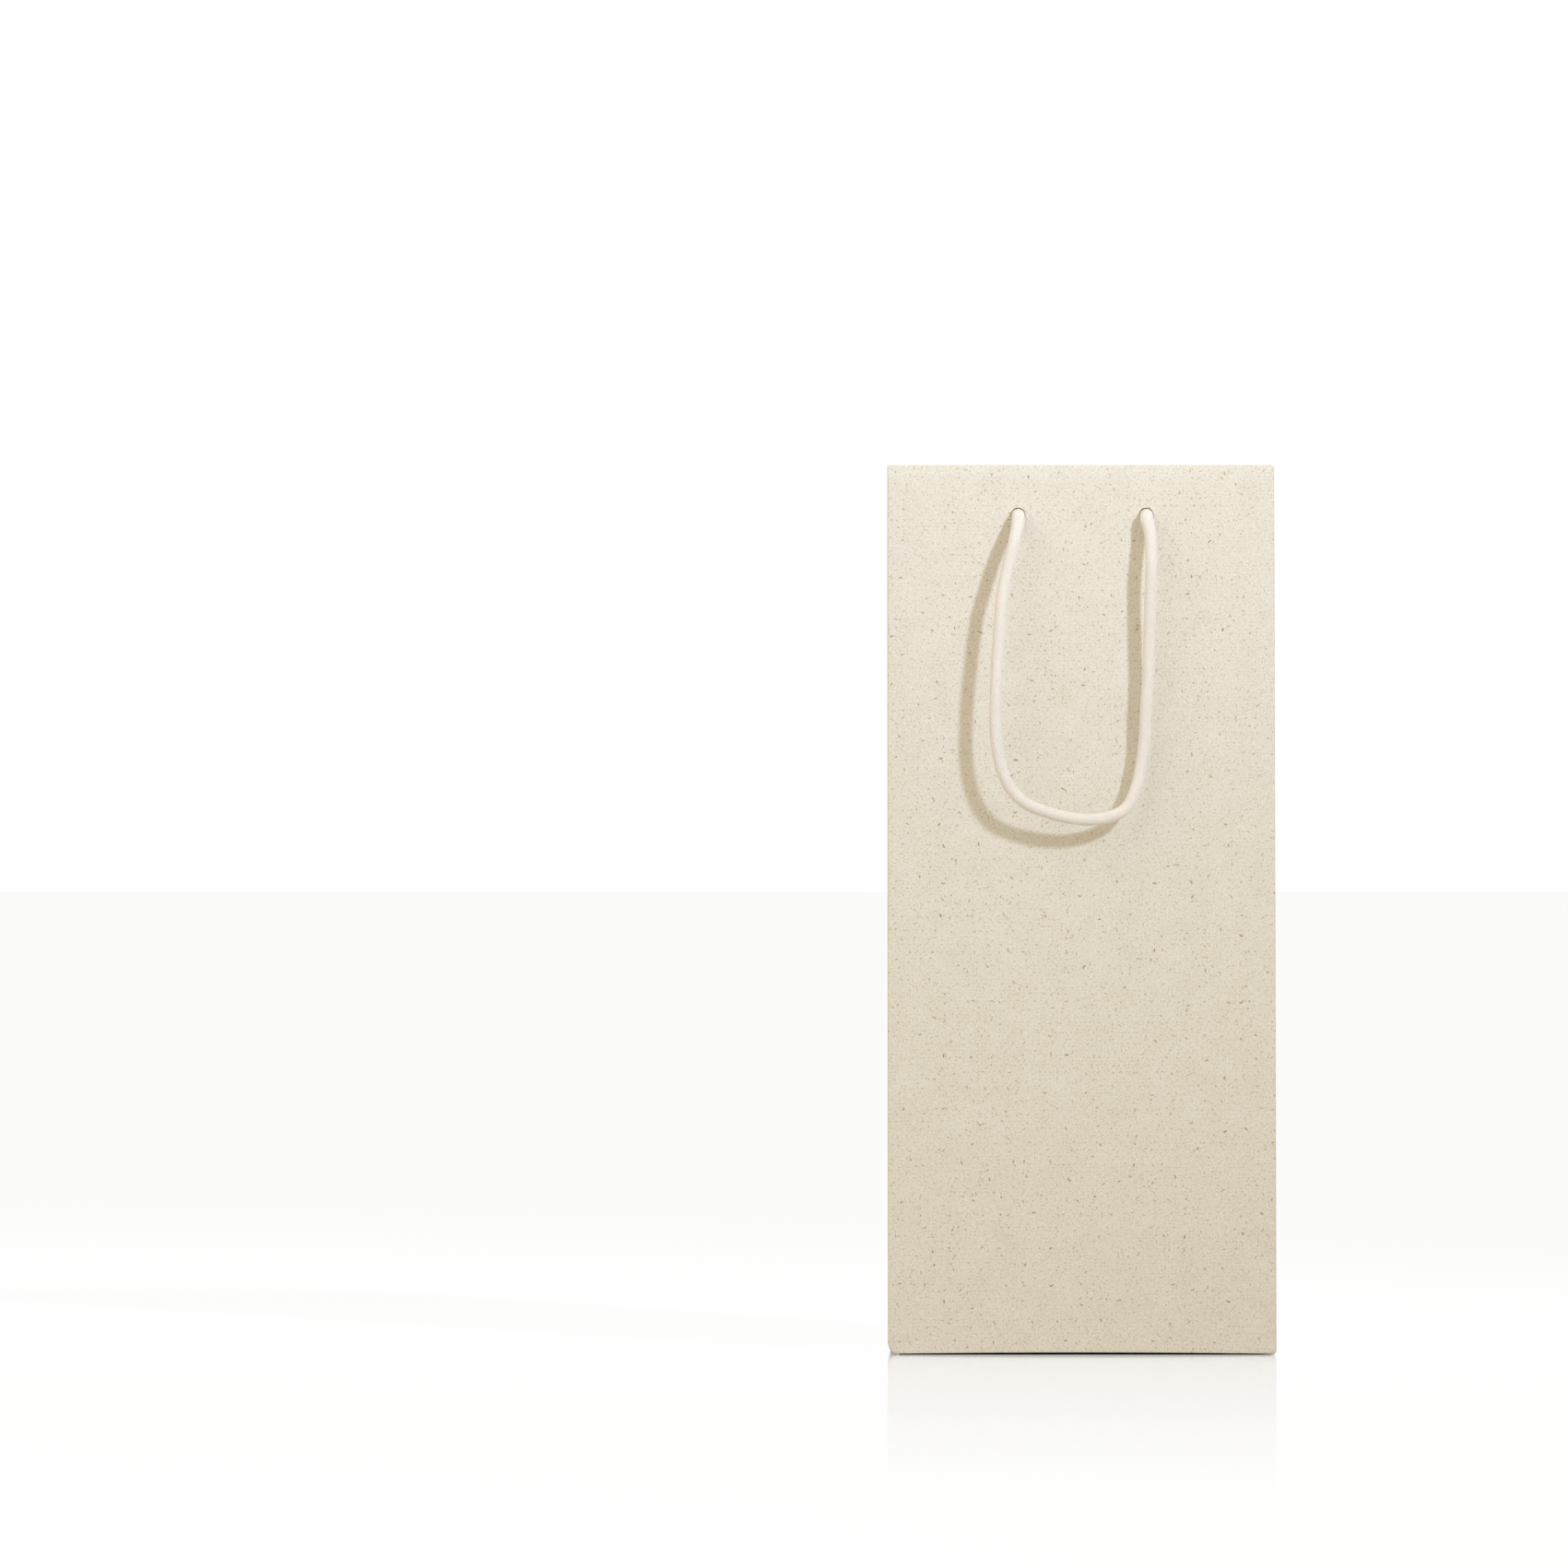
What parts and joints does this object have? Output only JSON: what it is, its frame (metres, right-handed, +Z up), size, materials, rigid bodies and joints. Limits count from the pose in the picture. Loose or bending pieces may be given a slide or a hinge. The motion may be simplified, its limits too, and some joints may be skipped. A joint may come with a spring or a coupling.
{
  "type": "two-bottle paper carrier bag",
  "caption": "Tall folded paper bag that carries two wine bottles upright, with a flat base, a turned-over rim and a knotted cord handle hanging on each wide side.",
  "frame": {"origin": "on the floor under the middle of the bag, at the centre of its footprint", "axes": "+Z up towards the open rim; the front wall faces -Y; +X to the right when the front is looked at, along the bag's width"},
  "size_m": [0.175, 0.1394, 0.402],
  "materials": {
    "fibre_paper": "matte",
    "stiffener_card": "matte",
    "base_card": "matte",
    "cotton_cord": "matte"
  },
  "bodies": {
    "bag": {"front_panel": "fibre_paper", "back_panel": "fibre_paper", "left_gusset_front": "fibre_paper", "left_gusset_back": "fibre_paper", "right_gusset_front": "fibre_paper", "right_gusset_back": "fibre_paper", "seam_flap": "fibre_paper", "bottom_flap_front": "fibre_paper", "bottom_flap_back": "fibre_paper", "bottom_flap_left": "fibre_paper", "bottom_flap_right": "fibre_paper", "front_hem": "fibre_paper", "back_hem": "fibre_paper", "left_hem": "fibre_paper", "right_hem": "fibre_paper", "front_stiffener": "stiffener_card", "back_stiffener": "stiffener_card", "front_left_knot": "cotton_cord", "front_right_knot": "cotton_cord", "back_left_knot": "cotton_cord", "back_right_knot": "cotton_cord"},
    "front_handle": {"front_cord": "cotton_cord"},
    "back_handle": {"back_cord": "cotton_cord"},
    "base_insert": {"base_board": "base_card"}
  },
  "joints": [
    {"name": "front_handle_swing", "type": "hinge", "parent": "bag", "child": "front_handle", "pos_m": [0, -0.05355, 0.3795], "axis": [-1, 0, 0], "range_deg": [0, 175]},
    {"name": "back_handle_swing", "type": "hinge", "parent": "bag", "child": "back_handle", "pos_m": [0, 0.05355, 0.3795], "axis": [1, 0, 0], "range_deg": [0, 175]},
    {"name": "base_board_lift", "type": "slide", "parent": "bag", "child": "base_insert", "axis": [0, 0, 1], "range_m": [0, 0.34]}
  ]
}
